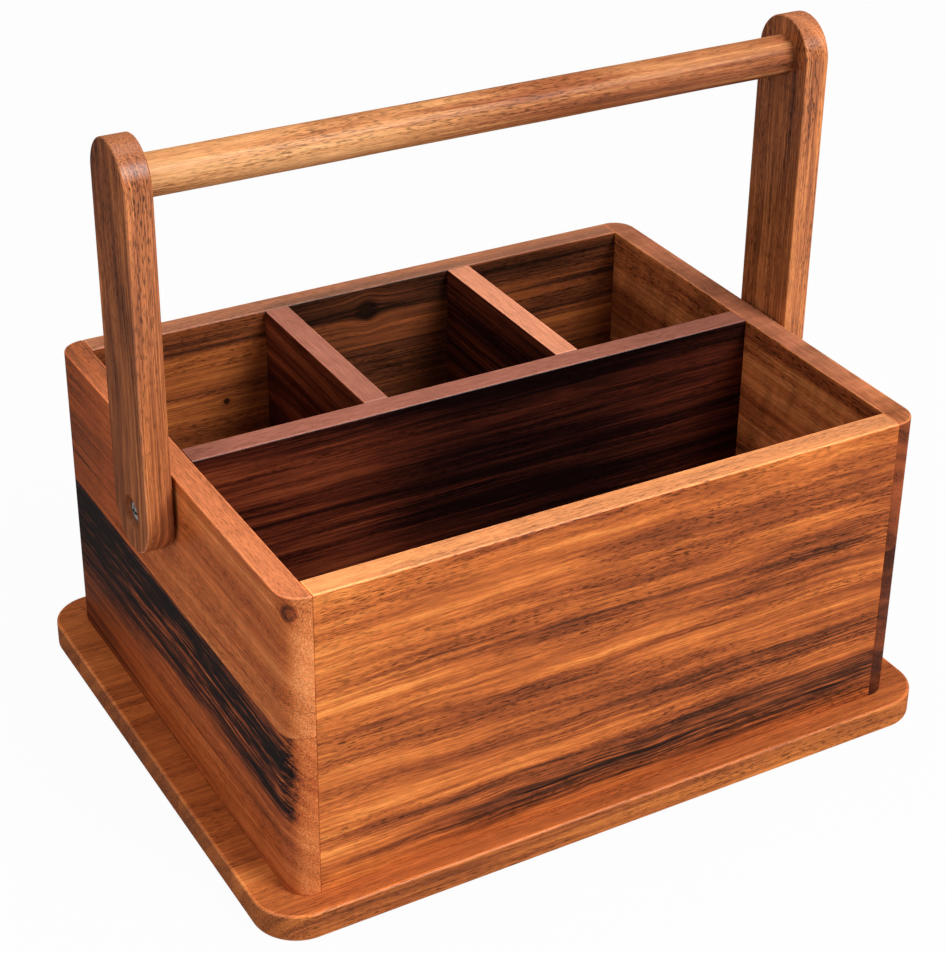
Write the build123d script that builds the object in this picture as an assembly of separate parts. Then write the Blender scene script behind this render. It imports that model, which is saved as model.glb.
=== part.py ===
"""Wooden utensil caddy with a swinging carry handle.

Millimetres, +Z up, +X right along the front, +Y to the back, origin under the middle of the base.
"""

import os

from build123d import *

# boards
board = 10.0            # thickness of every upright board
base_t = 11.0           # thickness of the base board
box_w = 256.0           # over the outer faces of the two side panels
box_d = 203.0           # over the outer faces of the front and back panels
wall_h = 121.0          # height of the walls above the base
overhang_side = 12.0    # base beyond the side panels
overhang_front = 9.0    # base beyond the front and back panels
base_corner_r = 17.0    # plan radius of the base corners
wall_corner_r = 9.0     # round on the outer upright edges of the side panels
arris = 0.6             # eased edges of the boards
base_under_r = 1.2      # round-over under the base

# handle
arm_t = 10.0            # thickness of a handle arm
arm_w = 30.0            # width of a handle arm, ends are full half circles
arm_gap = 1.6           # clear space between a side panel and its arm
arm_arris = 1.0         # eased edges of the arms
pivot_below_rim = 17.0  # pivot axis below the top of the walls
handle_reach = 124.0    # pivot axis to grip axis
grip_r = 7.5
grip_bore = 5.0         # depth of the blind bores that hold the grip
glue = 0.05             # radial room for glue around pins and rods

# pivot hardware
counterbore_r = 6.3
counterbore_depth = 4.0
head_r = 4.9
head_h = 2.8
shoulder_r = 2.6
thread_r = 2.0
running = 0.08          # radial room of the arm on the shoulder of its screw
side_play = 0.2         # axial room on each side of an arm
washer_r = 8.0
insert_r = 4.0
insert_len = 8.2
recess_w = 1.0          # width of one slot of the cross recess
recess_len = 4.6
recess_depth = 1.5

# hidden joinery
tongue_t = 4.0          # stub tongues on the board ends, in the middle of the thickness
tongue_len = 4.0
tongue_below = 4.0      # tongues stop this far below the threaded inserts, so none shows at the rim
groove_room = 0.3       # groove deeper and taller than its tongue by this much
wood_screw_r = 1.7
wood_screw_len = 24.0
wood_screw_head_r = 3.7
wood_screw_head_h = 2.6
wood_screw_rim = 0.4
wood_screw_tip = 4.0
head_inset = 0.3        # screw heads stay this far inside the underside

# derived
half_w = box_w / 2
half_d = box_d / 2
rim_z = base_t + wall_h
inner_half_w = half_w - board
inner_half_d = half_d - board
cell_w = (2 * inner_half_w - 2 * board) / 3
cross_x = cell_w / 2 + board / 2
arm_in_x = half_w + arm_gap
arm_out_x = arm_in_x + arm_t
pivot_z = rim_z - pivot_below_rim
grip_z = pivot_z + handle_reach
seat_x = arm_out_x - counterbore_depth + side_play
tongue_top = pivot_z - insert_r - tongue_below
side_screw_y = 0.35 * box_d


def box_between(x0, x1, y0, y1, z0, z1):
    """A box given by its six faces."""
    return Pos((x0 + x1) / 2, (y0 + y1) / 2, (z0 + z1) / 2) * Box(x1 - x0, y1 - y0, z1 - z0)


def edges_at(shape, axis, value):
    """The edges of a shape that lie wholly in the plane axis = value."""
    low = shape.edges().filter_by_position(axis, value - 1e-3, value + 1e-3)
    return [e for e in low if abs(e.bounding_box().size.dot(axis.direction)) < 1e-3]


def rod_x(x0, x1, y, z, r):
    """A round bar along X from x0 to x1."""
    return Pos((x0 + x1) / 2, y, z) * Rot(0, 90, 0) * Cylinder(r, x1 - x0)


def stub(axis, face, reach, across, room=0.0):
    """The bar of one hidden joint: from the plane axis = face out by reach, centred on across.

    It is a tongue as it stands, and the groove for it with room added at its end and top.
    """
    end = face + reach + (room if reach > 0 else -room)
    low, high = min(face, end), max(face, end)
    top = tongue_top + room
    near, far = across - tongue_t / 2, across + tongue_t / 2
    if axis == "x":
        return box_between(low, high, near, far, base_t, top)
    return box_between(near, far, low, high, base_t, top)


def side_joints(side, room=0.0):
    """Stubs between one side panel and the front panel, the long divider and the back panel."""
    middle = half_d - board / 2
    return [stub("x", side * inner_half_w, side * tongue_len, y, room) for y in (-middle, 0.0, middle)]


def front_stub(side, room=0.0):
    """Stub of a cross divider into the long divider."""
    return stub("y", board / 2, -tongue_len, side * cross_x, room)


def back_stub(side, room=0.0):
    """Stub of a cross divider into the back panel."""
    return stub("y", inner_half_d, tongue_len, side * cross_x, room)


def screw_places():
    """Plan positions of the screws that hold the walls from under the base."""
    mid_x, mid_y = half_w - board / 2, half_d - board / 2
    sides = [(sx * mid_x, sy * side_screw_y) for sx in (-1, 1) for sy in (-1, 1)]
    return sides + [(0.0, -mid_y), (0.0, mid_y)]


def screw_holes():
    """Clearance bores and countersinks for the screws under the base."""
    wide, neck = wood_screw_head_r + glue, wood_screw_r + glue
    rim, sink = head_inset + wood_screw_rim, head_inset + wood_screw_head_h
    tip = head_inset + wood_screw_len + groove_room
    profile = Polyline((0, 0), (wide, 0), (wide, rim), (neck, sink), (neck, tip), (0, tip), (0, 0))
    bore = revolve(Plane.XZ * make_face(profile), Axis.Z)
    return [Pos(x, y, 0) * bore for x, y in screw_places()]


def drilled(board_solid):
    """A wall board with the bores of the screws that come up into it."""
    box = board_solid.bounding_box()
    for hole in screw_holes():
        if box.overlaps(hole.bounding_box()):
            board_solid -= hole
    return board_solid


def wall(x0, x1, y0, y1):
    """An upright board on the base, its two long rim edges eased."""
    solid = box_between(x0, x1, y0, y1, base_t, rim_z)
    return chamfer([e for e in edges_at(solid, Axis.Z, rim_z) if e.length > board + 1], arris)


def base_board():
    size = (box_w + 2 * overhang_side, box_d + 2 * overhang_front)
    plate = extrude(RectangleRounded(*size, base_corner_r), base_t)
    plate = fillet(edges_at(plate, Axis.Z, 0.0), base_under_r)
    plate = chamfer(edges_at(plate, Axis.Z, base_t), arris)
    for hole in screw_holes():
        plate -= hole
    return plate


def side_panel(side):
    """A side panel with its two outer upright corners rounded over nearly its whole thickness."""
    outer = side * half_w
    inner = side * inner_half_w
    panel = box_between(min(outer, inner), max(outer, inner), -half_d, half_d, base_t, rim_z)
    uprights = panel.edges().filter_by(Axis.Z).filter_by_position(Axis.X, outer - 1e-3, outer + 1e-3)
    panel = fillet(uprights, wall_corner_r)
    panel = drilled(chamfer(edges_at(panel, Axis.Z, rim_z), arris))
    for groove in side_joints(side, groove_room):
        panel -= groove
    depth = insert_len + groove_room
    low, high = (outer - depth, outer) if side > 0 else (outer, outer + depth)
    return panel - rod_x(low, high, 0, pivot_z, insert_r + glue)


def end_panel(side):
    """The front (side -1) or back (side 1) panel, set between the side panels."""
    near, far = sorted((side * inner_half_d, side * half_d))
    panel = drilled(wall(-inner_half_w, inner_half_w, near, far))
    for end in (-1, 1):
        panel += side_joints(end)[side + 1]
        if side > 0:
            panel -= back_stub(end, groove_room)
    return panel


def long_divider():
    divider = wall(-inner_half_w, inner_half_w, -board / 2, board / 2)
    for end in (-1, 1):
        divider += side_joints(end)[1]
        divider -= front_stub(end, groove_room)
    return divider


def cross_divider(side):
    x = side * cross_x
    divider = wall(x - board / 2, x + board / 2, board / 2, inner_half_d)
    return divider + front_stub(side) + back_stub(side)


def handle_arm(side):
    """An upright strip with half-round ends, bored for its pivot screw and for the grip."""
    middle = (pivot_z + grip_z) / 2
    outline = Plane.YZ * Pos(0, middle) * SlotCenterToCenter(handle_reach, arm_w, rotation=90)
    arm = extrude(outline, arm_t)
    arm = Pos(arm_in_x if side > 0 else -arm_out_x, 0, 0) * arm
    arm = chamfer(arm.edges().filter_by(GeomType.CIRCLE) + arm.edges().filter_by(Axis.Z), arm_arris)
    inner, outer = side * arm_in_x, side * arm_out_x
    arm -= rod_x(min(inner, outer), max(inner, outer), 0, pivot_z, shoulder_r + running)
    floor = outer - side * counterbore_depth
    arm -= rod_x(min(floor, outer), max(floor, outer), 0, pivot_z, counterbore_r)
    blind = inner + side * (grip_bore + glue)
    return arm - rod_x(min(inner, blind), max(inner, blind), 0, grip_z, grip_r + glue)


def grip_rod():
    reach = arm_in_x + grip_bore
    rod = rod_x(-reach, reach, 0, grip_z, grip_r)
    return chamfer(rod.edges().filter_by(GeomType.CIRCLE), arris)


def pivot_screw(side):
    """Shoulder screw: domed head with a cross recess, bearing shoulder, threaded end in the insert."""
    head = Cylinder(head_r, head_h, align=(Align.CENTER, Align.CENTER, Align.MIN))
    head = chamfer(edges_at(head, Axis.Z, head_h), head_h * 0.4, head_h * 0.6)
    slot = Pos(0, 0, head_h - recess_depth / 2) * Box(recess_len, recess_w, recess_depth)
    head -= slot
    head -= Rot(0, 0, 90) * slot
    head -= Pos(0, 0, head_h - recess_depth / 2) * Cone(recess_w * 0.4, recess_w, recess_depth)
    shoulder_len = seat_x - half_w
    shoulder = Pos(0, 0, -shoulder_len / 2) * Cylinder(shoulder_r, shoulder_len)
    thread_len = insert_len - groove_room
    thread = Pos(0, 0, -shoulder_len - thread_len / 2) * Cylinder(thread_r, thread_len)
    screw = head + shoulder + thread
    return Pos(side * seat_x, 0, pivot_z) * Rot(0, side * 90, 0) * screw


def pivot_washer(side):
    """Spacer washer that keeps the arm off the side panel."""
    thick = arm_gap - side_play
    ring = rod_x(half_w, half_w + thick, 0, pivot_z, washer_r)
    ring -= rod_x(half_w, half_w + thick, 0, pivot_z, shoulder_r + glue)
    return ring if side > 0 else mirror(ring, Plane.YZ)


def threaded_insert(side):
    """Sleeve in the side panel that takes the thread of the pivot screw."""
    low = half_w - insert_len
    sleeve = rod_x(low, half_w, 0, pivot_z, insert_r) - rod_x(low, half_w, 0, pivot_z, thread_r + glue)
    return sleeve if side > 0 else mirror(sleeve, Plane.YZ)


def wood_screw():
    """Countersunk screw, head down at z = 0, point up."""
    top = wood_screw_len - wood_screw_tip
    profile = Polyline(
        (0, 0), (wood_screw_head_r, 0), (wood_screw_head_r, wood_screw_rim),
        (wood_screw_r, wood_screw_head_h), (wood_screw_r, top),
        (0.3, wood_screw_len), (0, wood_screw_len), (0, 0),
    )
    body = revolve(Plane.XZ * make_face(profile), Axis.Z)
    slot = Pos(0, 0, recess_depth / 2) * Box(recess_len * 0.8, recess_w, recess_depth)
    return body - slot - Rot(0, 0, 90) * slot


def base_screws():
    return Compound([Pos(x, y, head_inset) * wood_screw() for x, y in screw_places()])


parts = {
    "base_board": base_board,
    "left_side_panel": lambda: side_panel(-1),
    "right_side_panel": lambda: side_panel(1),
    "front_panel": lambda: end_panel(-1),
    "back_panel": lambda: end_panel(1),
    "long_divider": long_divider,
    "left_cross_divider": lambda: cross_divider(-1),
    "right_cross_divider": lambda: cross_divider(1),
    "left_handle_arm": lambda: handle_arm(-1),
    "right_handle_arm": lambda: handle_arm(1),
    "grip_rod": grip_rod,
    "left_pivot_screw": lambda: pivot_screw(-1),
    "right_pivot_screw": lambda: pivot_screw(1),
    "left_pivot_washer": lambda: pivot_washer(-1),
    "right_pivot_washer": lambda: pivot_washer(1),
    "left_threaded_insert": lambda: threaded_insert(-1),
    "right_threaded_insert": lambda: threaded_insert(1),
    "base_screws": base_screws,
}

os.makedirs("parts", exist_ok=True)
for name, make in parts.items():
    export_step(make(), f"parts/{name}.step")
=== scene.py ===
import bmesh
import bpy
import numpy as np
from math import pi, radians, tau
from mathutils import Matrix, Vector
from mathutils.geometry import delaunay_2d_cdt


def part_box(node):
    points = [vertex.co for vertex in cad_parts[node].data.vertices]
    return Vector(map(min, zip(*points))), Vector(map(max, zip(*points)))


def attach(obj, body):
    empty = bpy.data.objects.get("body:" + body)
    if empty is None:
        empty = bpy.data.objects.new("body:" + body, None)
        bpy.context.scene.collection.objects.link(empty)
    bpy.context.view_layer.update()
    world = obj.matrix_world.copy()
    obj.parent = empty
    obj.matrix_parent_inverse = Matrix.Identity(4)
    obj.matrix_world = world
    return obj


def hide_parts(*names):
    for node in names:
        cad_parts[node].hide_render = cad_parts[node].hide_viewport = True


# Acacia utensil caddy: an open box of boards on a wider base, with a carry handle that swings
# on two pivot screws. Metres; X right along the front, Y to the back, Z up. Every board takes
# its size from the frame, so the wood fits the joints underneath.

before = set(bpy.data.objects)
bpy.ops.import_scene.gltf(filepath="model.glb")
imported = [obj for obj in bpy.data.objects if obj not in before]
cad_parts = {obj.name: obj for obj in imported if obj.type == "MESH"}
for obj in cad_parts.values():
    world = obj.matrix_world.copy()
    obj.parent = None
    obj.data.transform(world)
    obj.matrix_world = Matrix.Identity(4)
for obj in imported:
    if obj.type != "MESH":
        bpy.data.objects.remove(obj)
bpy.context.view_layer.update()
mm = 0.001
print("frame loaded:", len(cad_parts), "nodes")


def corners(node):
    low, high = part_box(node)
    return np.array(low), np.array(high)


def stitch(index, joined=False):
    # Quads from each row of point numbers to the next, round each row
    low = index if joined else index[:-1]
    high = np.roll(index, -1, axis=0) if joined else index[1:]
    return np.stack([low, np.roll(low, -1, 1), np.roll(high, -1, 1), high], axis=-1).reshape(-1, 4)


def makePiece(name, points, faces, rim):
    # rim: one number per point, 1 on an eased edge and 0 on a plain face, kept as an attribute
    mesh = bpy.data.meshes.new(name)
    mesh.from_pydata(points.tolist(), [], faces)
    mesh.attributes.new("rim", "FLOAT", "POINT").data.foreach_set("value", rim)
    mesh.polygons.foreach_set("use_smooth", np.ones(len(faces), bool))
    mesh.update()
    piece = bpy.data.objects.new(name, mesh)
    bpy.context.scene.collection.objects.link(piece)
    even = piece.modifiers.new("even", "WEIGHTED_NORMAL")
    even.weight = 100       # flat faces stay flat beside small rounds
    return piece


def skin(name, rings, rim, joined=False, copies=((0.0, 0.0, 0.0),)):
    # rings: array (rings, points, 3). Quads join each ring to the next; the first and last ring
    # are closed by one flat face each, or by quads to each other where joined is True. The faces
    # are turned over when they look towards the middle.
    count, around = rings.shape[:2]
    index = np.arange(count * around).reshape(count, around)
    quads = stitch(index, joined)
    points = rings.reshape(-1, 3)
    a, b, c, d = (points[quads[:, k]] for k in range(4))
    middle = points.mean(axis=0)
    turn = np.einsum("ij,ij->i", (a + b + c + d) / 4 - middle, np.cross(c - a, d - b)).sum()
    faces = quads.tolist()
    if not joined:
        faces += [index[0][::-1].tolist(), index[-1].tolist()]
    if turn < 0:
        faces = [face[::-1] for face in faces]
    every = [[number + len(points) * k for number in face]
             for k in range(len(copies)) for face in faces]
    places = (points[None] + np.array(copies)[:, None]).reshape(-1, 3)
    return makePiece(name, places, every, np.tile(np.repeat(rim, around), len(copies)))


def planLoop(low, high, radii, inset, arcSteps=9, sideSteps=2):
    # A rounded rectangle pulled in by inset: four arcs, centre + radius * (cos, sin), joined by
    # straight sides. The count of points doesn't change with inset, so loops can be skinned.
    corner = np.array([(high[0], low[1]), (high[0], high[1]), (low[0], high[1]), (low[0], low[1])])
    outward = np.array([(1, -1), (1, 1), (-1, 1), (-1, -1)])
    radius = np.maximum(np.array(radii) - inset, 0.02 * mm)     # never quite a sharp corner
    centre = corner - outward * (inset + radius)[:, None]
    angle = (np.arange(4) * 90 - 90)[:, None] + np.linspace(0, 90, arcSteps)[None]
    around = np.stack([np.cos(np.radians(angle)), np.sin(np.radians(angle))], axis=-1)
    arcs = centre[:, None] + radius[:, None, None] * around
    share = np.linspace(0, 1, sideSteps + 2)[1:-1][None, :, None]
    sides = arcs[:, -1:] * (1 - share) + np.roll(arcs, -1, axis=0)[:, :1] * share
    return np.concatenate([arcs, sides], axis=1).reshape(-1, 2)


def easedProfile(low, high, lowRound, highRound, steps=5, margin=0.5 * mm, footWearAndHighlight=0.6):
    # Inset, height and rim value of each ring up a board: a flat margin, a quarter round,
    # the face, a quarter round, a flat margin. The foot's edge gets less of the edges' wear and
    # painted highlight than the top's.
    quarter = np.linspace(0, pi / 2, steps)
    inset = np.concatenate([[lowRound + margin], lowRound * (1 - np.sin(quarter)),
                            highRound * (1 - np.cos(quarter)), [highRound + margin]])
    height = np.concatenate([[low], low + lowRound * (1 - np.cos(quarter)),
                             high - highRound * (1 - np.sin(quarter)), [high]])
    rim = np.concatenate([[0], np.full(steps - 1, footWearAndHighlight), [0], [0], np.ones(steps - 1), [0]])
    return inset, height, rim


def carryUp(low, high, radii, profile, arcSteps):
    # Rings of a board: its plan outline at each inset and height of its profile
    rings = []
    for inset, height in zip(*profile[:2]):
        loop = planLoop(low[:2], high[:2], radii, inset, arcSteps)
        rings.append(np.column_stack([loop, np.full(len(loop), height)]))
    return np.array(rings)


class Wire:
    # An output socket that can be written into sums, products and powers
    def __init__(self, finish, socket):
        self.finish, self.socket = finish, socket

    def do(self, kind, *others, clamp=False):
        made = self.finish.node("ShaderNodeMath", {"operation": kind, "use_clamp": clamp},
                                dict(enumerate((self,) + others)))
        return Wire(self.finish, made.outputs[0])

    def flip(self, kind, other):
        # The same with the sides swapped, for a plain number on the left
        made = self.finish.node("ShaderNodeMath", {"operation": kind}, {0: other, 1: self})
        return Wire(self.finish, made.outputs[0])

    def __add__(self, other): return self.do("ADD", other)
    def __radd__(self, other): return self.do("ADD", other)
    def __sub__(self, other): return self.do("SUBTRACT", other)
    def __rsub__(self, other): return self.flip("SUBTRACT", other)
    def __mul__(self, other): return self.do("MULTIPLY", other)
    def __rmul__(self, other): return self.do("MULTIPLY", other)
    def __truediv__(self, other): return self.do("DIVIDE", other)
    def __rtruediv__(self, other): return self.flip("DIVIDE", other)
    def __pow__(self, other): return self.do("POWER", other)
    def __abs__(self): return self.do("ABSOLUTE")

    def clamp(self): return self.do("ADD", 0.0, clamp=True)

    def rise(self, start, stop):
        # 0 before start, 1 after stop, smooth between; start may be the larger of the two
        made = self.finish.node("ShaderNodeMapRange", {"interpolation_type": "SMOOTHSTEP"},
                                {"Value": self, "From Min": start, "From Max": stop})
        return Wire(self.finish, made.outputs["Result"])

    def bump(self, middle, width):
        # 1 at middle, falling smoothly to 0 at width on both sides
        return abs(self - middle).rise(width, 0.0)


class Finish:
    # One material: nodes come from node(), values from wires
    def __init__(self, name):
        self.material = bpy.data.materials.new(name)
        self.material.use_nodes = True
        self.tree = self.material.node_tree
        self.tree.nodes.clear()
        self.out = self.node("ShaderNodeOutputMaterial")

    def node(self, kind, settings={}, inputs={}):
        made = self.tree.nodes.new(kind)
        for key, value in settings.items():
            setattr(made, key, value)
        for key, value in inputs.items():
            if isinstance(value, Wire):
                self.tree.links.new(value.socket, made.inputs[key])
            else:
                made.inputs[key].default_value = value
        return made

    def wire(self, kind, output, settings={}, inputs={}):
        return Wire(self, self.node(kind, settings, inputs).outputs[output])

    def place(self):
        # Object coordinates in millimetres, as three wires
        spot = self.wire("ShaderNodeTexCoord", "Object")
        spot = self.wire("ShaderNodeMapping", "Vector", {},
                         {"Vector": spot, "Scale": (1 / mm,) * 3})
        parts = self.node("ShaderNodeSeparateXYZ", {}, {"Vector": spot})
        return [Wire(self, parts.outputs[k]) for k in range(3)]

    def vector(self, x, y, z):
        return self.wire("ShaderNodeCombineXYZ", "Vector", {}, {0: x, 1: y, 2: z})

    def noise(self, x, y, z, detail=3.0, rough=0.5, output="Fac"):
        spot = self.vector(x, y, z)
        return self.wire("ShaderNodeTexNoise", output, {"noise_dimensions": "3D"},
                         {"Vector": spot, "Scale": 1.0, "Detail": detail, "Roughness": rough})

    def noise3(self, x, y, z, detail=2.0):
        # Three independent noises from one node, each from -1 to 1
        cloud = self.noise(x, y, z, detail, 0.5, "Color")
        parts = self.node("ShaderNodeSeparateColor", {}, {"Color": cloud})
        return [(Wire(self, parts.outputs[k]) - 0.5) * 2.0 for k in range(3)]

    def colours(self, value, stops):
        # A row of colours looked up by value; stops: (value, colour), palest first
        made = self.node("ShaderNodeValToRGB", {}, {"Fac": value})
        ramp = made.color_ramp
        while len(ramp.elements) < len(stops):
            ramp.elements.new(1.0)
        for element, (spot, colour) in zip(ramp.elements, stops):
            element.position, element.color = spot, (*colour, 1)
        return Wire(self, made.outputs["Color"])

    def mix(self, share, first, second):
        # Sockets 6 and 7 in and 2 out are the colour ones
        first, second = (colour if isinstance(colour, Wire) else (*colour, 1)
                         for colour in (first, second))
        made = self.node("ShaderNodeMix", {"data_type": "RGBA", "clamp_factor": True},
                         {0: share, 6: first, 7: second})
        return Wire(self, made.outputs[2])

    def blend(self, share, first, second):
        # Of two surface shaders: the first where share is 0, the second where it is 1
        return self.wire("ShaderNodeMixShader", "Shader", {}, {0: share, 1: first, 2: second})

    def scaled(self, colour, amount):
        return self.wire("ShaderNodeVectorMath", 0, {"operation": "SCALE"},
                         {0: colour, "Scale": amount})

    def relief(self, height, strength, depth):
        return self.wire("ShaderNodeBump", "Normal", {},
                         {"Height": height, "Strength": strength, "Distance": depth})

    def surface(self, fixed, **varying):
        return self.show(self.wire("ShaderNodeBsdfPrincipled", "BSDF", {}, {**fixed, **varying}))

    def show(self, shader):
        self.tree.links.new(shader.socket, self.out.inputs["Surface"])
        return self.material


axes = {"x": 0, "y": 1, "z": 2}
acacia = dict(
    stops=[(0.00, (0.86, 0.33, 0.085)), (0.25, (0.60, 0.180, 0.042)), (0.50, (0.34, 0.090, 0.026)),
           (0.75, (0.125, 0.036, 0.015)), (1.0, (0.018, 0.008, 0.005))],
    tone=0.32,          # 0 pale gold, 1 near black heartwood
    band=0.20,          # contrast of the broad colour bands
    bandWidth=15.0,     # mm
    streak=0.20,        # contrast of the growth streaks
    streakWidth=2.8,    # mm
    hair=0.12,          # contrast of the finest lines
    line=0.10,          # thin dark growth lines
    wander=3.0,         # how far the grain drifts off straight, mm
    ripple=0.16,        # its short waves, as a share of wander
    run=170.0,          # length of a growth streak, mm
    figure=0.10,        # ripple of light across the grain
    pore=0.62,          # darkness of the pore dashes
    gather=0.12,        # how far the pores' crowded bands darken
    speck=0.9,          # contrast of the end grain's specks
    heart=(20.0, 70.0),     # where the tree's middle lies: across the board, through it, mm
    move=(0.0, 0.0, 0.0),   # the board's place in the tree: along, across, through, mm
    joints=[],          # glue joints across the board, mm
    staves=[0.0],       # tone of each glued stave against the board's
    marks=[],           # colour bands: place across, half width, start, full, strength, stave
    knots=[],           # along, across, through, radius, darkness
    fades=[],           # tone added along the board: start, stop, amount
    paintedShadeDepth=None,     # through the board: where a fade starts, where it is full; it keeps painted shade to an inner face
    paintedTopColour=(0.62, 0.26, 0.155),   # colour of the upward faces: painted top light
    paintedTopShare=0.0,        # how far the upward faces take that painted top light
    paintedTopFades=[],      # start, stop, share of that painted top light lost along the board
    wornAndHighlit=0.28,          # eased edges lighter: wear, and a painted highlight
    endTone=0.06,       # tone added to the end grain
    shade=1.0,          # brightness of the whole board
)
swing = dict(streak=5, hair=4, band=4, figure=2)    # widens each noise towards -1 to 1
endLoss = dict(streak=0.8, band=0.6, mark=0.75)     # share of each that sawn ends don't show
ragged = dict(mottle=3.0, streak=2.4, hair=2.5, band=1.5)       # how the grain breaks up a mark
staveShift = dict(along=173.0, through=61.0)        # mm between the staves' cuts of the tree
glueLine = dict(half=0.35, tone=0.22)               # mm, and how much darker it is
knot = dict(along=0.8, across=0.7,                  # how far the eye is stretched
            reach=7.0, push=1.8,                    # how far out the grain parts, and how much
            ring=0.9, ringHalf=0.5, middle=0.7,     # dark ring, tone of the middle
            haloReach=3.0, halo=0.25)               # all but the tones in radii
poreNoise = dict(start=0.53, full=0.65, least=0.20) # its limits, share of pores off the bands
dullness = dict(wood=0.44, fibre=0.22, pore=0.20, end=0.10, rim=-0.08)
grainRelief = dict(fibre=0.5, pore=-0.9, streak=0.4)        # in tenths of a millimetre
oil = dict(face=0.22, edge=0.45, rough=0.32)        # coat on faces, more of it on eased edges


def woodFinish(name, along, across, **changes):
    # Solid timber: every value is a function of place inside the wood, so the grain of the
    # faces, the edges and the end grain of a board agree. g, w, t: mm along the grain, across
    # it and through the board.
    # ring = distance from the tree's middle line after the grain's drift and round the knots;
    # tone = base + stave + streaks(ring) + hair(ring) + growth lines(ring) + bands(ring)
    #        + crowded pores(ring) + specks on the end grain + marks + fades (painted shade among
    #          them) + glue lines + knots,
    # looked up in a row of colours and mixed with a painted top light on upward faces, then times the
    # light of fibre, figure, eased edges (wear and a painted highlight) and pores.
    look = {**acacia, **changes}
    wood = Finish(name)
    spot = wood.place()
    through = ({"x", "y", "z"} - {along, across}).pop()
    g0, w0, t0 = spot[axes[along]], spot[axes[across]], spot[axes[through]]
    stave = 0.0
    staveTone = look["staves"][0]
    for joint, before, after in zip(look["joints"], look["staves"], look["staves"][1:]):
        past = w0.do("GREATER_THAN", joint)
        stave = past + stave
        staveTone = past * (after - before) + staveTone
    moveG, moveW, moveT = look["move"]
    g = g0 + (stave * staveShift["along"] + moveG)
    t = t0 + (stave * staveShift["through"] + moveT)

    def cloud(x, y, z, size, shift=0.0, detail=2.0, rough=0.5):
        # Noise whose blots measure size: mm along, across and through
        return wood.noise(x / size[0], y / size[1], z / size[2] + shift, detail, rough)

    drift = wood.noise3(g / 260, (w0 + moveW) / 90, t / 90)
    ripple = wood.noise3(g / 27, (w0 + moveW) / 15, t / 15)
    wander, waves = look["wander"], look["wander"] * look["ripple"]
    w = w0 + drift[0] * wander + ripple[0] * waves
    t2 = t + drift[1] * wander + ripple[1] * waves

    eyes, halo = 0.0, 0.0
    for gAt, wAt, tAt, radius, dark in look["knots"]:
        # the grain parts round a knot, whose eye is a dark ring about a softer middle
        away = (g0 - gAt) ** 2.0 * knot["along"] + (w0 - wAt) ** 2.0 * knot["across"]
        away = (away + (t0 - tAt) ** 2.0) ** 0.5
        side = (w0 - wAt) / (away + radius)
        w = w - side * away.rise(radius * knot["reach"], 0.0) * (radius * knot["push"])
        band = away.bump(radius * knot["ring"], radius * knot["ringHalf"])
        eyes = (band + away.rise(radius, radius * 0.5) * knot["middle"]) * dark + eyes
        halo = away.rise(radius * knot["haloReach"], radius) * (dark * knot["halo"]) + halo

    wHeart, tHeart = look["heart"]
    ring = ((w + moveW - wHeart) ** 2.0 + (t2 - tHeart) ** 2.0) ** 0.5
    bands = cloud(g, ring, t, (420, look["bandWidth"], 60), shift=4) - 0.5
    streaks = cloud(g, ring, t, (look["run"], look["streakWidth"], 50), detail=4.0, rough=0.68)
    streaks = streaks - 0.5
    hair = cloud(g, ring, t, (60, 0.5, 9), shift=9, rough=0.6) - 0.5
    lines = cloud(g, ring, t, (300, 6, 60), shift=20, detail=3.0).bump(0.5, 0.03)
    crowd = cloud(g, ring, t, (120, 7, 30), shift=33, rough=0.55).rise(0.36, 0.64)
    specks = cloud(w0, t0, g0, (0.55, 0.55, 3), detail=3.0, rough=0.65) - 0.5
    fibre = cloud(g, w, t2, (9, 0.42, 0.42), rough=0.6) - 0.5
    pores = cloud(g, w, t2, (3.4, 0.42, 0.42), detail=1.0)
    pores = pores.rise(poreNoise["start"], poreNoise["full"])
    pores = pores * (crowd * (1 - poreNoise["least"]) + poreNoise["least"])
    figure = wood.noise(g / 10 + w0 / 50, w0 / 30, t / 30 + 2, 3.0, 0.6) - 0.5

    normal = wood.wire("ShaderNodeTexCoord", "Normal")
    facing = wood.node("ShaderNodeSeparateXYZ", {}, {"Vector": normal})
    ends = abs(Wire(wood, facing.outputs[axes[along]])).rise(0.5, 0.95)
    rim = wood.wire("ShaderNodeAttribute", "Fac", {"attribute_name": "rim"})

    # streaks and bands are strong along the grain and weak on the sawn ends, where specks show
    tone = streaks * (swing["streak"] * look["streak"]) + hair * (swing["hair"] * look["hair"])
    tone = (tone + lines * look["line"]) * (1.0 - ends * endLoss["streak"])
    tone = tone + bands * (1.0 - ends * endLoss["band"]) * (swing["band"] * look["band"])
    tone = tone + specks * ends * look["speck"]
    tone = tone + crowd * look["gather"] + staveTone + (look["tone"] - look["gather"] * 0.5)
    if look["marks"]:
        mottle = cloud(g, w, t2, (16, 1.7, 1.7), detail=3.0, rough=0.65) - 0.5
        broken = mottle * ragged["mottle"] + streaks * ragged["streak"]
        broken = broken + hair * ragged["hair"] + bands * ragged["band"] + 1.0
    for place, width, start, full, strength, ofStave in look["marks"]:
        mark = w.bump(place, width) * g0.rise(start, full) * (1.0 - ends * endLoss["mark"])
        if ofStave is not None:
            mark = mark * stave.bump(ofStave, 0.5)
        tone = tone + mark * broken * strength
    for start, stop, amount in look["fades"]:
        fade = g0.rise(start, stop) * amount
        # a fade held to one face through the board is painted shade there
        if look["paintedShadeDepth"]:
            fade = fade * t0.rise(*look["paintedShadeDepth"])
        tone = tone + fade
    for joint in look["joints"]:
        tone = tone + w0.bump(joint, glueLine["half"]) * glueLine["tone"]
    if look["knots"]:
        tone = tone + halo + eyes
    # eased edges a shade paler: wear, and a painted highlight
    tone = (tone + ends * look["endTone"] - rim * 0.10).clamp()

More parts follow.
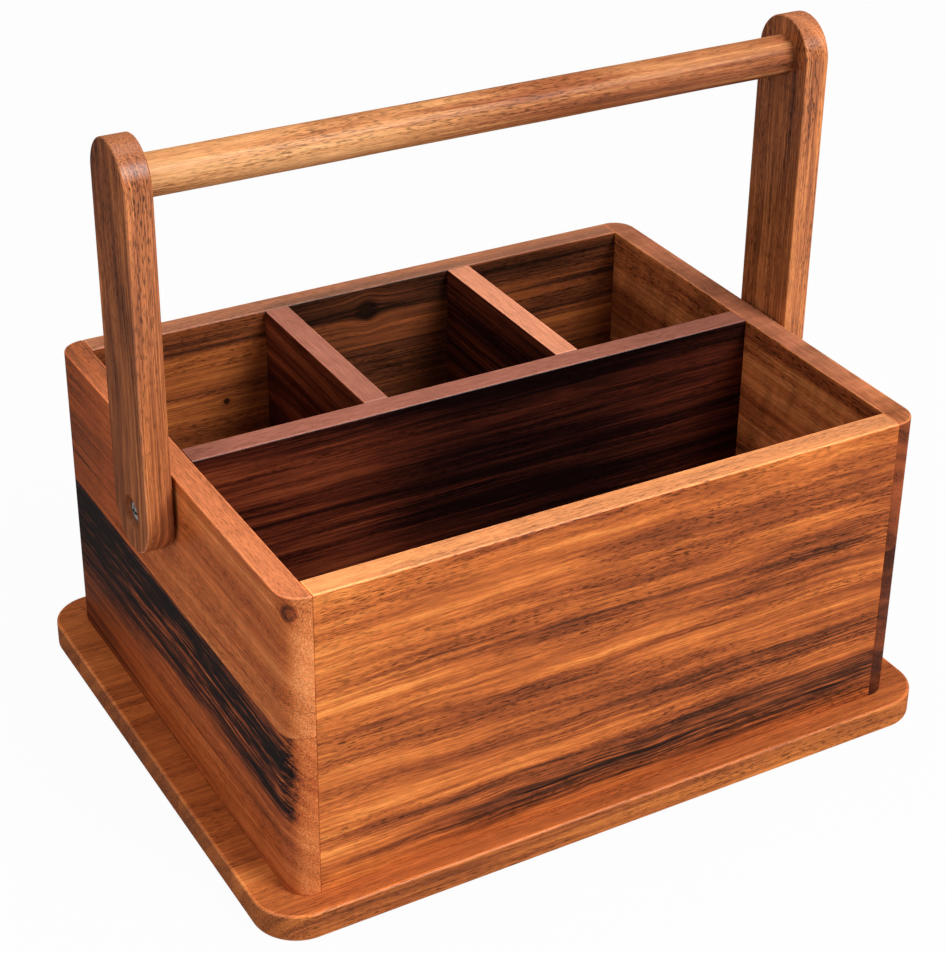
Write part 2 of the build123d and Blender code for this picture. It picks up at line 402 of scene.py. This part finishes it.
    colour = wood.colours(tone, look["stops"])
    # painted top light: upward faces are mixed towards a colour of their own, less on dark grain
    paintedTop = 0.0
    if look["paintedTopShare"]:
        paintedTop = Wire(wood, facing.outputs[2]).rise(0.55, 0.95) * look["paintedTopShare"]
        for start, stop, lost in look["paintedTopFades"]:
            paintedTop = paintedTop * (1.0 - g0.rise(start, stop) * lost)
        colour = wood.mix(paintedTop * (1.0 - tone * 0.15), colour, look["paintedTopColour"])
    # eased edges brighter: wear, and a painted highlight along them
    light = 1.0 + fibre * 1.1 + figure * (swing["figure"] * look["figure"]) + rim * look["wornAndHighlit"]
    # the pores show less on upward faces: sanding dust in them, and the painted top light
    filled = 1.0 - pores * (1.0 - paintedTop * 0.7) * look["pore"]
    colour = wood.scaled(colour, light * look["shade"] * filled)
    rough = dullness["wood"] + fibre * dullness["fibre"] + pores * dullness["pore"]
    rough = rough + ends * dullness["end"] + rim * dullness["rim"]
    # the oil shines least where a face is seen edge on
    front = 1.0 - wood.wire("ShaderNodeLayerWeight", "Facing", {}, {"Blend": 0.5})
    gloss = (rim * oil["edge"] + oil["face"]) * front
    rise = fibre * grainRelief["fibre"] + pores * grainRelief["pore"]
    rise = rise + streaks * grainRelief["streak"]
    return wood.surface({"Specular IOR Level": 0.0, "Coat Roughness": oil["rough"]},
                        **{"Base Color": colour, "Roughness": rough.clamp(), "Coat Weight": gloss,
                           "Normal": wood.relief(rise, 0.3, 0.1 * mm)})


def dress(piece, material, node, body):
    # Gives a finished piece its material and its body, and hides its CAD node
    piece.data.materials.append(material)
    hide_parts(node)
    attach(piece, body)


baseBoard = dict(corner=17 * mm, under=1.2 * mm, top=0.8 * mm,
                 screwShare=0.35,       # along a side panel, from its middle to a screw
                 # each screw's pit: radius and height of its circles in mm, up from the underside
                 pit=((3.75, 0.0), (3.75, 0.7), (1.75, 2.9), (1.75, 10.0)), pitSteps=40)
weldDistance = 1e-7     # points of the cut nearer than this are one


def screwPlaces():
    # Plan places of the screws: two up into each side panel, one each into the front and back
    side = np.array(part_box("right_side_panel"))
    across, along = side[:, 0].mean(), baseBoard["screwShare"] * (side[1, 1] - side[0, 1])
    four = [(x, y) for x in (-across, across) for y in (-along, along)]
    two = [(0.0, np.mean(corners(node), axis=0)[1]) for node in ("front_panel", "back_panel")]
    return np.array(four + two)


def makeBase():
    # The eased outline carried up the board's thickness; the underside is cut into triangles
    # round six pits, each a row of circles, and every pit is closed by a disc.
    low, high = corners("base_board")
    profile = easedProfile(low[2], high[2], baseBoard["under"], baseBoard["top"], steps=8)
    rings = carryUp(low, high, [baseBoard["corner"]] * 4, profile, arcSteps=24)
    wall = np.arange(rings[..., 0].size).reshape(rings.shape[:2])
    turn = np.linspace(0, tau, baseBoard["pitSteps"], endpoint=False)
    circle = np.column_stack([np.cos(turn), np.sin(turn)])
    sizes, levels = (np.array(baseBoard["pit"]) * mm).T
    places = screwPlaces()
    plan = places[:, None, None] + sizes[None, :, None, None] * circle[None, None]
    height = np.broadcast_to(levels[None, :, None, None], (*plan.shape[:3], 1))
    pits = np.concatenate([plan, height], axis=-1)
    pit = wall.size + np.arange(pits[..., 0].size).reshape(pits.shape[:3])
    points = np.concatenate([rings.reshape(-1, 3), pits.reshape(-1, 3)])

    # the cut keeps the outline and the pits' mouths as edges; triangles inside a mouth go
    loops = [wall[0], *pit[:, 0]]
    outline = np.concatenate(loops)
    start = np.cumsum([0] + [len(loop) for loop in loops])
    edges = [(first + k, first + (k + 1) % (last - first))
             for first, last in zip(start, start[1:]) for k in range(last - first)]
    flat = [Vector(spot) for spot in points[outline, :2].tolist()]
    triangles, sources = delaunay_2d_cdt(flat, edges, [], 0, weldDistance)[2:4]
    under = outline[np.array([source[0] for source in sources])[np.array(triangles)]]
    middles = points[under].mean(axis=1)[:, None, :2]
    under = under[np.linalg.norm(middles - places[None], axis=-1).min(axis=1) > sizes[0]]

    faces = stitch(wall).tolist() + [wall[-1].tolist()] + under[:, ::-1].tolist()
    for rows in pit:
        faces += stitch(rows)[:, ::-1].tolist() + [rows[-1][::-1].tolist()]
    rim = np.concatenate([np.repeat(profile[2], wall.shape[1]), np.zeros(pit.size)])
    piece = makePiece("base", points, faces, rim)
    shell = bmesh.new()
    shell.from_mesh(piece.data)
    bmesh.ops.recalc_face_normals(shell, faces=shell.faces)
    shell.to_mesh(piece.data)
    shell.free()
    return piece


wallBoards = dict(outer=9 * mm, inner=0.3 * mm, foot=0.35 * mm, top=0.6 * mm,
                  # narrow: a wider margin would carry the outer corners' arcs past the inner face
                  margin=0.1 * mm)


def makeWall(node):
    # A panel or divider. Corner radii go right front, right back, left back, left front.
    low, high = corners(node)
    look, plain, outer = wallBoards, wallBoards["inner"], wallBoards["outer"]
    radii, steps = [plain] * 4, 4
    if "side" in node:
        radii, steps = [plain, plain, outer, outer], 16
        if "right" in node:
            radii.reverse()
    elif "cross" in node:
        low[1], high[1] = corners("long_divider")[1][1], corners("back_panel")[0][1]
    else:       # tongues stay hidden: stop at the side panels
        low[0], high[0] = corners("left_side_panel")[1][0], corners("right_side_panel")[0][0]
    profile = easedProfile(low[2], high[2], look["foot"], look["top"], margin=look["margin"])
    name = node.replace("_panel", "_wall").replace("_divider", "_partition")
    return skin(name, carryUp(low, high, radii, profile, steps), profile[2])


handleArm = dict(round=0.6 * mm, margin=0.5 * mm, roundSteps=7,
                 sink=6.3 * mm, sinkDepth=4.0 * mm, bore=2.68 * mm, lip=0.25 * mm)


def slotLoop(low, high, inset, arcSteps=40, sideSteps=14):
    # Outline of an arm in Y and Z: two half circles, centre + radius * (cos, sin), and two
    # straight sides, pulled in by inset
    half = (high[0] - low[0]) / 2
    radius = half - inset

    def halfCircle(height, first, last):
        turn = np.linspace(first, last, arcSteps)
        return np.column_stack([low[0] + half + radius * np.cos(turn),
                                height + radius * np.sin(turn)])

    foot, head = halfCircle(low[1] + half, pi, tau), halfCircle(high[1] - half, 0, pi)
    share = np.linspace(0, 1, sideSteps + 2)[1:-1][:, None]
    up = foot[-1] * (1 - share) + head[0] * share
    down = head[-1] * (1 - share) + foot[0] * share
    return np.concatenate([foot, up, head, down])


def makeArm(side):
    # Rings go in from the outer outline, across the outer face to the counterbore, through the
    # pivot bore and back along the inner face. Bore points lie at the outline points' angles.
    low, high = corners(side + "_handle_arm")
    outward = -1 if side == "left" else 1
    face = low[0] if side == "left" else high[0]
    thick, half = high[0] - low[0], (high[1] - low[1]) / 2
    look, rounding = handleArm, handleArm["round"]
    pivot = np.array([(low[1] + high[1]) / 2, low[2] + half])
    edge = slotLoop(low[1:], high[1:], 0.0)
    angle = np.arctan2(edge[:, 1] - pivot[1], edge[:, 0] - pivot[0])
    rings, rim = [], []

    def add(loop, depth, wearAndHighlight=0.0):
        rings.append(np.column_stack([np.full(len(loop), face - outward * depth), loop]))
        rim.append(wearAndHighlight)

    def outline(pull):
        return slotLoop(low[1:], high[1:], pull)

    def circle(radius):
        return pivot + radius * np.column_stack([np.cos(angle), np.sin(angle)])

    # the eased edge: pulled in by round * (1 - cos) where it lies round * (1 - sin) deep
    quarter = np.linspace(0, pi / 2, look["roundSteps"])
    wornAndHighlit = np.append(np.ones(len(quarter) - 1), 0.0)
    ease = list(zip(rounding * (1 - np.cos(quarter)), rounding * (1 - np.sin(quarter)), wornAndHighlit))
    for pull, depth, wearAndHighlight in ease:
        add(outline(pull), depth, wearAndHighlight)
    add(outline(rounding + look["margin"]), 0.0)
    add(circle(look["sink"] + look["lip"]), 0.0)
    add(circle(look["sink"]), look["lip"], 1.0)
    add(circle(look["sink"]), look["sinkDepth"])
    add(circle(look["bore"]), look["sinkDepth"])
    add(circle(look["bore"]), thick)
    add(outline(rounding + look["margin"]), thick)
    for pull, depth, wearAndHighlight in ease[::-1]:
        add(outline(pull), thick - depth, wearAndHighlight)
    return skin(side + "_arm", np.array(rings), np.array(rim), joined=True)


gripRod = dict(ease=0.8 * mm, wobble=0.06 * mm, slow=61, quick=143, rings=70, around=64)


def makeGrip():
    # A bar along X: radius = half the node's height + a hand-sanded wobble,
    # wobble = 0.6 of a slow sine of x + 0.4 of a quicker one that leans round the bar
    low, high = corners("grip_rod")
    look, ease = gripRod, gripRod["ease"]
    centre, radius = (low + high) / 2, (high[2] - low[2]) / 2 - look["wobble"]
    body = np.linspace(low[0] + 2 * ease, high[0] - 2 * ease, look["rings"])
    along = np.concatenate([[low[0], low[0] + ease], body, [high[0] - ease, high[0]]])
    around = np.linspace(0, tau, look["around"], endpoint=False)
    x = along[:, None]
    waves = np.sin(x * look["slow"]) * 0.6 + np.sin(x * look["quick"] + around) * 0.4
    size = radius + look["wobble"] * waves
    size[[0, -1]] -= ease
    rings = np.stack([np.broadcast_to(x, size.shape), centre[1] + size * np.cos(around),
                      centre[2] + size * np.sin(around)], axis=-1)
    return skin("grip", rings, np.zeros(len(along)))


crossRecess = dict(hub=0.06 * mm, spread=0.93, rows=34, wallSlope=0.22 * mm, endSlope=1.1 * mm)


def crossHead(look, around):
    # Polar grid over a head: depth below its highest point = dome * (r / head)^2 + recess,
    # recess = depth * how far inside the nearer arm of the cross
    cross = crossRecess
    radius = np.linspace(cross["hub"], look["head"] * cross["spread"], cross["rows"])[:, None]
    first, second = radius * np.cos(around), radius * np.sin(around)
    near, far = np.minimum(abs(first), abs(second)), np.maximum(abs(first), abs(second))
    wall = np.clip((look["slotHalf"] - near) / cross["wallSlope"], 0, 1)
    end = np.clip((look["slotReach"] - far) / cross["endSlope"], 0, 1)
    return first, second, look["dome"] * (radius / look["head"]) ** 2 + look["slotDepth"] * wall * end


def turned(lathe, head, around):
    # Two coordinates and depth of a whole screw: its head's grid, then circles of (radius, depth)
    first, second, depth = head
    sizes = np.broadcast_to(lathe[:, :1], (len(lathe), len(around)))
    depths = np.concatenate([depth, np.broadcast_to(lathe[:, 1:], sizes.shape)])
    return (np.concatenate([first, sizes * np.cos(around)]),
            np.concatenate([second, sizes * np.sin(around)]), depths)


pivotScrew = dict(head=4.9 * mm, height=2.8 * mm, dome=1.1 * mm, skirt=0.55 * mm, skirtDrop=0.87,
                  slotHalf=0.55 * mm, slotReach=2.7 * mm, slotDepth=1.7 * mm,
                  shoulder=2.6 * mm, thread=2.0 * mm, cut=0.18 * mm, pitch=0.8 * mm,
                  around=96, rows=60)


def makePivotScrew(side):
    # Head, shoulder and thread as one skin; thread radius is a cosine of the length along it
    low, high = corners(side + "_pivot_screw")
    outward = -1 if side == "left" else 1
    top = low[0] if side == "left" else high[0]
    centre = (low[1:] + high[1:]) / 2
    look, spread = pivotScrew, crossRecess["spread"]
    around = np.linspace(0, tau, look["around"], endpoint=False)
    bend = np.linspace(0, pi / 2, 6)
    skirt = np.column_stack([look["head"] * (spread + (1 - spread) * np.sin(bend)),
                             look["dome"] * look["skirtDrop"] + look["skirt"] * (1 - np.cos(bend))])
    shoulderEnd = abs(top) - corners("right_side_panel")[1][0]
    neck = [(look["head"], look["height"]), (look["shoulder"], look["height"]),
            (look["shoulder"], shoulderEnd)]
    run = np.linspace(shoulderEnd, high[0] - low[0], look["rows"])
    thread = look["thread"] - look["cut"] * (1 + np.cos(tau * (run - shoulderEnd) / look["pitch"]))
    lathe = np.concatenate([skirt, neck, np.column_stack([thread, run])])
    y, z, depth = turned(lathe, crossHead(look, around), around)
    rings = np.stack([top - outward * depth, centre[0] + y, centre[1] + z], axis=-1)
    return skin(side + "_screw", rings, np.zeros(len(rings)))


baseScrew = dict(head=3.7 * mm, face=0.3 * mm, rim=0.4 * mm, cone=2.6 * mm, dome=0.0,
                 slotHalf=0.5 * mm, slotReach=2.1 * mm, slotDepth=1.4 * mm,
                 shank=1.7 * mm, cut=0.2 * mm, pitch=1.6 * mm, length=24.0 * mm,
                 tip=4.0 * mm, tipSize=0.15, around=72, rows=90)


def makeBaseScrews():
    # Countersunk screws, heads down: face with its cross recess, cone, then a thread whose
    # radius is a cosine of the height and shrinks to the tip; one skin at six places
    look = baseScrew
    around = np.linspace(0, tau, look["around"], endpoint=False)
    run = np.linspace(look["cone"], look["length"], look["rows"])
    taper = np.clip((look["length"] - run) / look["tip"], look["tipSize"], 1)
    thread = (look["shank"] - look["cut"] * (1 + np.cos(tau * run / look["pitch"]))) * taper
    neck = [(look["head"], 0.0), (look["head"], look["rim"]), (look["shank"], look["cone"])]
    lathe = np.concatenate([neck, np.column_stack([thread, run])[1:]])
    x, y, height = turned(lathe, crossHead(look, around), around)
    rings = np.stack([x, y, look["face"] + height], axis=-1)
    copies = [(*place, 0.0) for place in screwPlaces()]
    return skin("wood_screws", rings, np.zeros(len(rings)), copies=copies)


def metalFinish(name, colour, rough, scratch=0.2):
    # Plated metal: fine lines in the colour, and scuffs that dull it
    metal = Finish(name)
    x, y, z = metal.place()
    lines = metal.noise(x * 3.0, y * 3.0, z * 3.0, 3.0, 0.7) - 0.5
    scuff = metal.noise(x * 0.6, y * 0.6, z * 0.6, 4.0, 0.6).rise(0.5, 0.8)
    dull = tuple(0.7 * part for part in colour)
    tint = metal.scaled(metal.mix(scuff * 0.3, colour, dull), 1.0 + lines * 0.3)
    rough = (rough + scuff * scratch + lines * 0.1).clamp()
    return metal.surface({"Metallic": 1.0}, **{"Base Color": tint, "Roughness": rough,
                                               "Normal": metal.relief(lines, 0.2, 0.03 * mm)})


def rubberFinish(name, colour):
    # Moulded black rubber: a fine grain that lightens and dulls it
    rubber = Finish(name)
    x, y, z = rubber.place()
    grain = rubber.noise(x * 2.5, y * 2.5, z * 2.5, 4.0, 0.6)
    pale = tuple(2.0 * part for part in colour)
    return rubber.surface({"Specular IOR Level": 0.3}, **{
        "Base Color": rubber.mix(grain, colour, pale), "Roughness": 0.55 + grain * 0.2,
        "Normal": rubber.relief(grain, 0.3, 0.06 * mm)})


# Colours from the palest grain to the darkest, by tone
darkHeart = [(0.0, (0.56, 0.17, 0.055)), (0.35, (0.25, 0.056, 0.020)), (0.6, (0.088, 0.017, 0.008)),
             (0.8, (0.026, 0.006, 0.004)), (1.0, (0.006, 0.002, 0.002))]
brownArm = [(0.0, (0.78, 0.29, 0.092)), (0.3, (0.50, 0.160, 0.052)), (0.55, (0.26, 0.076, 0.028)),
            (0.8, (0.090, 0.028, 0.014)), (1.0, (0.018, 0.008, 0.005))]
goldFront = [(0.0, (0.95, 0.33, 0.080)), (0.25, (0.64, 0.172, 0.040)), (0.5, (0.36, 0.085, 0.024)),
             (0.75, (0.125, 0.034, 0.014)), (1.0, (0.020, 0.008, 0.005))]
redSide = [(0.0, (0.84, 0.31, 0.10)), (0.25, (0.58, 0.165, 0.048)), (0.5, (0.34, 0.078, 0.024)),
           (0.75, (0.12, 0.030, 0.013)), (1.0, (0.018, 0.007, 0.005))]
boardLooks = {
    "base_board": dict(
        along="x", across="y", tone=0.33, streak=0.20, band=0.18, wander=2.5,
        heart=(-190.0, -70.0), move=(31, 7, 3), paintedTopColour=(0.74, 0.185, 0.050), paintedTopShare=0.35,
        joints=[-75.0, -28.0, 30.0, 72.0], staves=[0.0, 0.06, 0.10, 0.02, 0.06],
        fades=[(-130.0, -60.0, 0.06), (70.0, 136.0, 0.07)]),
    "left_side_panel": dict(
        along="y", across="z", tone=0.33, band=0.09, streak=0.13, hair=0.09,
        heart=(250.0, 30.0), move=(5, 60, 11), pore=0.5, gather=0.08, figure=0.22,
        stops=[(0.0, (0.92, 0.36, 0.13)), (0.25, (0.68, 0.188, 0.052)), (0.50, (0.44, 0.094, 0.025)),
               (0.72, (0.16, 0.040, 0.016)), (0.88, (0.050, 0.014, 0.008)),
               (1.0, (0.010, 0.005, 0.004))],
        joints=[77.0], staves=[0.08, 0.0], endTone=-0.16,
        paintedTopShare=0.6, paintedTopColour=(0.80, 0.27, 0.115), paintedTopFades=[(10.0, 95.0, 0.55)],
        knots=[(-98.9, 126.0, -125.4, 2.5, 0.30)], fades=[(-20.0, 95.0, 0.30)],
        marks=[(63.0, 28.0, 200.0, 20.0, 0.45, 0), (50.0, 34.0, 60.0, -100.0, 0.14, 0)]),
    "right_side_panel": dict(
        along="y", across="z", tone=0.38, streak=0.14, heart=(-130.0, 80.0), move=(9, 20, 40),
        stops=redSide, joints=[77.0], staves=[0.14, 0.0], endTone=0.26, figure=0.75,
        paintedTopShare=0.75, paintedTopColour=(0.36, 0.135, 0.080), paintedTopFades=[(-40.0, -101.0, 0.55)],
        gather=0.16, pore=0.8, speck=0.5),
    "front_panel": dict(
        along="x", across="z", tone=0.245, band=0.18, streak=0.24, hair=0.16,
        heart=(230.0, 110.0), move=(0, 3, 0), wander=4.0, ripple=0.24, run=110.0,
        pore=0.70, gather=0.18, figure=0.18, stops=goldFront,
        marks=[(25.0, 17.0, -180.0, 40.0, 0.28, None), (88.0, 7.0, 0.0, 110.0, 0.16, None),
               (46.0, 9.0, -60.0, 100.0, 0.14, None), (130.0, 34.0, -300.0, -200.0, -0.13, None)],
        fades=[(-118.0, -40.0, 0.20), (20.0, 118.0, 0.03)], wornAndHighlit=0.40,
        paintedTopShare=0.5, paintedTopColour=(1.0, 0.44, 0.185)),
    "back_panel": dict(
        along="x", across="z", tone=0.44, heart=(-80.0, 60.0), move=(70, 3, 20),
        paintedTopShare=0.6, paintedTopColour=(0.56, 0.245, 0.145),
        # painted shade inside the compartments: the inner face darker from the middle compartment on,
        # less so in the right one
        fades=[(-50.0, -32.0, 0.34), (34.0, 50.0, -0.12)], paintedShadeDepth=(97.0, 94.0),
        knots=[(-1.0, 122.0, 91.5, 2.0, 0.5), (-64.0, 96.0, 91.5, 0.9, 0.5),
               (14.0, 66.0, 91.5, 1.4, 0.4)]),
    "long_divider": dict(
        along="x", across="z", tone=0.60, band=0.20, streak=0.17, streakWidth=2.4, hair=0.14,
        run=90.0, heart=(200.0, 60.0), move=(20, 0, 60), wander=4.0, ripple=0.2, stops=darkHeart,
        paintedTopShare=0.9, paintedTopColour=(0.50, 0.18, 0.120),
        paintedTopFades=[(30.0, 112.0, 0.35), (-96.0, -124.0, 0.3)],
        fades=[(-70.0, 0.0, 0.32), (40.0, 100.0, -0.15)],
        marks=[(50.0, 26.0, -20.0, -90.0, -0.24, None), (118.0, 22.0, -300.0, -200.0, -0.08, None)]),
    "left_cross_divider": dict(
        along="y", across="z", tone=0.60, streak=0.20, heart=(120.0, 60.0), move=(0, 40, 5),
        paintedTopShare=0.85, paintedTopColour=(0.50, 0.19, 0.125), stops=darkHeart),
    "right_cross_divider": dict(
        along="y", across="z", tone=0.68, streak=0.20, heart=(120.0, 50.0), move=(3, 90, 35),
        paintedTopShare=0.95, paintedTopColour=(0.85, 0.33, 0.18), stops=darkHeart),
    "left_handle_arm": dict(
        along="z", across="y", tone=0.50, band=0.08, streak=0.15, hair=0.24, pore=0.75,
        gather=0.08, heart=(60.0, 40.0), move=(20, 26, 11), wander=2.0, run=80.0,
        paintedTopShare=0.3, wornAndHighlit=0.22, stops=brownArm, paintedTopColour=(0.54, 0.225, 0.11)),
    "right_handle_arm": dict(
        along="z", across="y", tone=0.40, band=0.14, streak=0.15, hair=0.24, pore=0.80,
        gather=0.10, heart=(-60.0, 30.0), move=(50, 16, 31), wander=2.0, run=80.0,
        paintedTopShare=0.3, wornAndHighlit=0.22, stops=brownArm, paintedTopColour=(0.42, 0.18, 0.10), figure=0.25, shade=0.95),
    "grip_rod": dict(
        along="x", across="z", tone=0.24, streak=0.22, band=0.14, wander=1.5,
        heart=(60.0, 50.0), move=(12, 5, 9), fades=[(-100.0, 100.0, 0.42)], pore=0.6,
        stops=[(0.0, (0.86, 0.47, 0.21)), (0.3, (0.68, 0.30, 0.115)), (0.6, (0.36, 0.11, 0.042)),
               (1.0, (0.08, 0.028, 0.015))]),
}


def woodOf(node):
    return woodFinish(node.replace("_", " ") + " wood", **boardLooks[node])


slots = {"left_side_panel": "side_wood", "right_side_panel": "side_wood",
         "front_panel": "front_wood", "back_panel": "back_wood", "long_divider": "divider_wood",
         "left_cross_divider": "divider_wood", "right_cross_divider": "divider_wood"}

dress(makeBase(), woodOf("base_board"), "base_board", "caddy")
for node, slot in slots.items():
    dress(makeWall(node), woodOf(node), node, "caddy")
print("boards built")

nickel = metalFinish("dull nickel", (0.14, 0.133, 0.120), 0.24)
for side in ("left", "right"):
    arm, screw = side + "_handle_arm", side + "_pivot_screw"
    dress(makeArm(side), woodOf(arm), arm, "handle")
    dress(makePivotScrew(side), nickel, screw, "caddy")
dress(makeGrip(), woodOf("grip_rod"), "grip_rod", "handle")
print("handle built")

zinc = metalFinish("zinc plate", (0.62, 0.60, 0.55), 0.35)
dress(makeBaseScrews(), zinc, "base_screws", "caddy")
brass = metalFinish("turned brass", (0.72, 0.53, 0.26), 0.3)
black = rubberFinish("black spacer", (0.012, 0.011, 0.010))
# these four keep the shapes of their CAD nodes and only take a material
carried = {"left_threaded_insert": brass, "right_threaded_insert": brass,
           "left_pivot_washer": black, "right_pivot_washer": black}
for node, material in carried.items():
    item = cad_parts[node]
    for place in item.material_slots:
        place.material = material
print("small parts dressed")


# Solved from the photo: place in metres, angles in degrees, the rest in its pixels
cameraLook = dict(place=(-0.3665, -0.6400, 0.5220), yaw=-31.34, pitch=-28.76, roll=1.50,
                  focalPixels=2232.1, centre=(532.5, 416.5), frame=(945, 953))


def setCamera():
    look = cameraLook
    lens = bpy.data.cameras.new("view")
    wide, tall = look["frame"]
    longer = max(wide, tall)
    lens.lens = look["focalPixels"] / longer * lens.sensor_width
    lens.shift_x = (wide / 2 - look["centre"][0]) / longer
    lens.shift_y = (look["centre"][1] - tall / 2) / longer
    lens.clip_start, lens.clip_end = 0.01, 50
    eye = bpy.data.objects.new("view", lens)
    matrix = Matrix.Translation(look["place"])
    for degrees, axis in ((look["yaw"], "Z"), (90 + look["pitch"], "X"), (look["roll"], "Z")):
        matrix = matrix @ Matrix.Rotation(radians(degrees), 4, axis)
    eye.matrix_world = matrix
    bpy.context.scene.collection.objects.link(eye)
    bpy.context.scene.camera = eye


floorLook = dict(reach=4.0, drop=0.05 * mm, grey=0.55, seen=0.965)


def setStage():
    # The floor looks white to the camera, in gloss and through glass, lights the rest as plain
    # paper does, and is clear from below
    reach, drop, grey = floorLook["reach"], floorLook["drop"], floorLook["grey"]
    mesh = bpy.data.meshes.new("floor")
    # a hair under the base, so the two never share a plane
    places = [(x * reach, y * reach, -drop) for x, y in ((-1, -1), (1, -1), (1, 1), (-1, 1))]
    mesh.from_pydata(places, [], [(0, 1, 2, 3)])
    floor = bpy.data.objects.new("floor", mesh)
    bpy.context.scene.collection.objects.link(floor)
    paper = Finish("white floor")
    path = paper.node("ShaderNodeLightPath")
    rays = [Wire(paper, path.outputs["Is " + kind + " Ray"])
            for kind in ("Camera", "Glossy", "Transmission")]
    plain = paper.wire("ShaderNodeBsdfDiffuse", "BSDF", {}, {"Color": (grey, grey, grey, 1)})
    white = paper.wire("ShaderNodeEmission", "Emission", {}, {"Color": (1, 1, 1, 1), "Strength": 1})
    shown = paper.blend((rays[0] + rays[1] + rays[2]).clamp() * floorLook["seen"], plain, white)
    below = paper.wire("ShaderNodeNewGeometry", "Backfacing")
    clear = paper.wire("ShaderNodeBsdfTransparent", "BSDF")
    mesh.materials.append(paper.show(paper.blend(below, shown, clear)))


worldStrength = 0.20
aimAt = (0, 0, 0.09)        # the point that every lamp faces
lamps = [   # square sheets: place and side in metres, watts
    dict(name="key", place=(0.75, -1.5, 1.5), size=1.0, watts=45),
    dict(name="left fill", place=(-1.5, -0.5, 0.9), size=1.2, watts=7),
    dict(name="top sheet", place=(0.0, 0.3, 1.9), size=1.0, watts=11),
]


def setLight():
    # A dim white world that the camera sees as full white, and the lamps
    world = bpy.data.worlds.new("studio")
    bpy.context.scene.world = world
    world.use_nodes = True
    nodes, links = world.node_tree.nodes, world.node_tree.links
    dim, white = nodes["Background"], nodes.new("ShaderNodeBackground")
    path, blend = nodes.new("ShaderNodeLightPath"), nodes.new("ShaderNodeMixShader")
    for shade in (dim, white):
        shade.inputs["Color"].default_value = (1, 1, 1, 1)
    dim.inputs["Strength"].default_value = worldStrength
    links.new(path.outputs["Is Camera Ray"], blend.inputs[0])
    links.new(dim.outputs[0], blend.inputs[1])
    links.new(white.outputs[0], blend.inputs[2])
    links.new(blend.outputs[0], nodes["World Output"].inputs[0])
    for look in lamps:
        light = bpy.data.lights.new(look["name"], "AREA")
        light.size, light.energy = look["size"], look["watts"]
        holder = bpy.data.objects.new(look["name"], light)
        turn = (Vector(aimAt) - Vector(look["place"])).to_track_quat("-Z", "Y")
        holder.matrix_world = Matrix.Translation(look["place"]) @ turn.to_matrix().to_4x4()
        bpy.context.scene.collection.objects.link(holder)


setCamera()
setStage()
setLight()
bpy.context.scene.view_settings.view_transform = "Standard"
print("camera, floor and light set")
